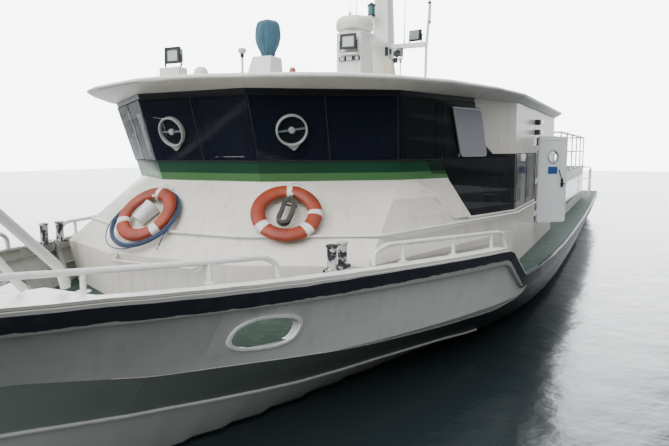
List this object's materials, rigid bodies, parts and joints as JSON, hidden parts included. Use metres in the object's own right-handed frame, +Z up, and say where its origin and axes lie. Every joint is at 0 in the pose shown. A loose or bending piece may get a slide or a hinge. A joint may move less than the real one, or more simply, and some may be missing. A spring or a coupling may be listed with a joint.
{
  "type": "passenger ferry",
  "caption": "Hard-chine passenger ferry with a raised bow bulwark, a wheelhouse cabin with raked windows, an aft cabin under an open sun deck, and twin propellers.",
  "frame": {"origin": "on the centreline at the waterline amidships, where the sea holds the boat up", "axes": "+X to the bow, +Y to port, +Z up"},
  "size_m": [26.0452, 6.7894, 7.9295],
  "materials": {
    "hull_paint": "satin",
    "white_paint": "gloss",
    "black_rubber": "matt",
    "bare_aluminium": "satin",
    "white_pipe": "gloss",
    "worn_black_steel": "worn",
    "galvanised_steel": "dull",
    "dark_glass": "gloss",
    "tinted_pane": "gloss",
    "dark_lining": "matt",
    "seat_vinyl": "satin",
    "grey_door_paint": "satin",
    "deck_green": "matt",
    "engine_grey": "satin",
    "bronze": "satin",
    "bottom_paint": "matt",
    "bench_plastic": "satin",
    "radome_cream": "satin",
    "teal_fabric": "woven",
    "lamp_black": "satin",
    "buoy_orange": "satin",
    "grey_rope": "twisted",
    "blue_rope": "laid",
    "white_plastic": "satin"
  },
  "bodies": {
    "boat": {"hull": "hull_paint", "bulwark": "white_paint", "rubbing_strake_port": "black_rubber", "rubbing_strake_stbd": "black_rubber", "fairlead_rim_port": "bare_aluminium", "fairlead_rim_stbd": "bare_aluminium", "bow_rail_port": "white_pipe", "bow_rail_stbd": "white_pipe", "side_rail_port": "white_pipe", "side_rail_stbd": "white_pipe", "bollard_port": "worn_black_steel", "bollard_stbd": "worn_black_steel", "bow_frame": "white_pipe", "anchor": "galvanised_steel", "cabin_front": "white_paint", "cabin_side_port": "white_paint", "cabin_side_stbd": "white_paint", "cabin_aft": "white_paint", "window_band": "dark_glass", "side_glass_port": "dark_glass", "side_glass_stbd": "dark_glass", "hung_window_port": "tinted_pane", "hung_window_stbd": "tinted_pane", "handrail": "white_pipe", "clear_view_port": "bare_aluminium", "clear_view_stbd": "bare_aluminium", "roof": "white_paint", "wheelhouse_floor": "dark_lining", "seats_fore": "seat_vinyl", "seats_aft": "seat_vinyl", "engine_port": "engine_grey", "engine_stbd": "engine_grey", "aft_cabin": "white_paint", "aft_glass_port": "dark_glass", "aft_glass_stbd": "dark_glass", "sun_deck_rail": "white_pipe", "sun_deck_benches": "bench_plastic", "stern_rail": "white_pipe", "mast": "white_paint", "radar_pylon": "white_paint", "radome": "radome_cream", "searchlight_pedestal": "white_paint", "searchlight_cover": "teal_fabric", "floodlight_stbd": "lamp_black", "floodlight_centre": "lamp_black", "floodlight_port": "lamp_black", "lifebuoy_port": "buoy_orange", "lifebuoy_stbd": "buoy_orange", "line_hank": "grey_rope", "line_coil": "blue_rope", "buoy_canister": "white_plastic"},
    "door_port": {"door_port": "grey_door_paint"},
    "door_stbd": {"door_stbd": "grey_door_paint"},
    "door_aft": {"door_aft": "grey_door_paint"},
    "foredeck_hatch": {"foredeck_hatch": "white_paint"},
    "engine_hatch": {"engine_hatch": "deck_green"},
    "propeller_port": {"propeller_port": "bronze"},
    "propeller_stbd": {"propeller_stbd": "bronze"},
    "rudder_port": {"rudder_port": "bottom_paint"},
    "rudder_stbd": {"rudder_stbd": "bottom_paint"}
  },
  "joints": [
    {"name": "door_port_hinge", "type": "hinge", "parent": "boat", "child": "door_port", "pos_m": [2.654, 2.925, 2.19], "axis": [0, 0, -1], "range_deg": [-43, 90]},
    {"name": "door_stbd_hinge", "type": "hinge", "parent": "boat", "child": "door_stbd", "pos_m": [2.654, -2.925, 2.19], "axis": [0, 0, 1], "range_deg": [0, 133]},
    {"name": "door_aft_hinge", "type": "hinge", "parent": "boat", "child": "door_aft", "pos_m": [0.074, -0.216, 2.1], "axis": [0, 0, -1], "range_deg": [0, 100]},
    {"name": "foredeck_hatch_hinge", "type": "hinge", "parent": "boat", "child": "foredeck_hatch", "pos_m": [9.39, 0, 1.156], "axis": [0, -1, 0], "range_deg": [0, 95]},
    {"name": "engine_hatch_hinge", "type": "hinge", "parent": "boat", "child": "engine_hatch", "pos_m": [-9.64, 0, 1.156], "axis": [0, 1, 0], "range_deg": [0, 80]},
    {"name": "propeller_port_spin", "type": "hinge", "parent": "boat", "child": "propeller_port", "pos_m": [-11.9, 1.1, -0.985], "axis": [0.9903, 0, 0.1392], "continuous": true},
    {"name": "propeller_stbd_spin", "type": "hinge", "parent": "boat", "child": "propeller_stbd", "pos_m": [-11.9, -1.1, -0.985], "axis": [0.9903, 0, 0.1392], "continuous": true},
    {"name": "rudder_port_stock", "type": "hinge", "parent": "boat", "child": "rudder_port", "pos_m": [-12.35, 1.1, -0.9], "axis": [0, 0, 1], "range_deg": [-35, 35]},
    {"name": "rudder_stbd_stock", "type": "hinge", "parent": "boat", "child": "rudder_stbd", "pos_m": [-12.35, -1.1, -0.9], "axis": [0, 0, 1], "range_deg": [-35, 35]}
  ]
}
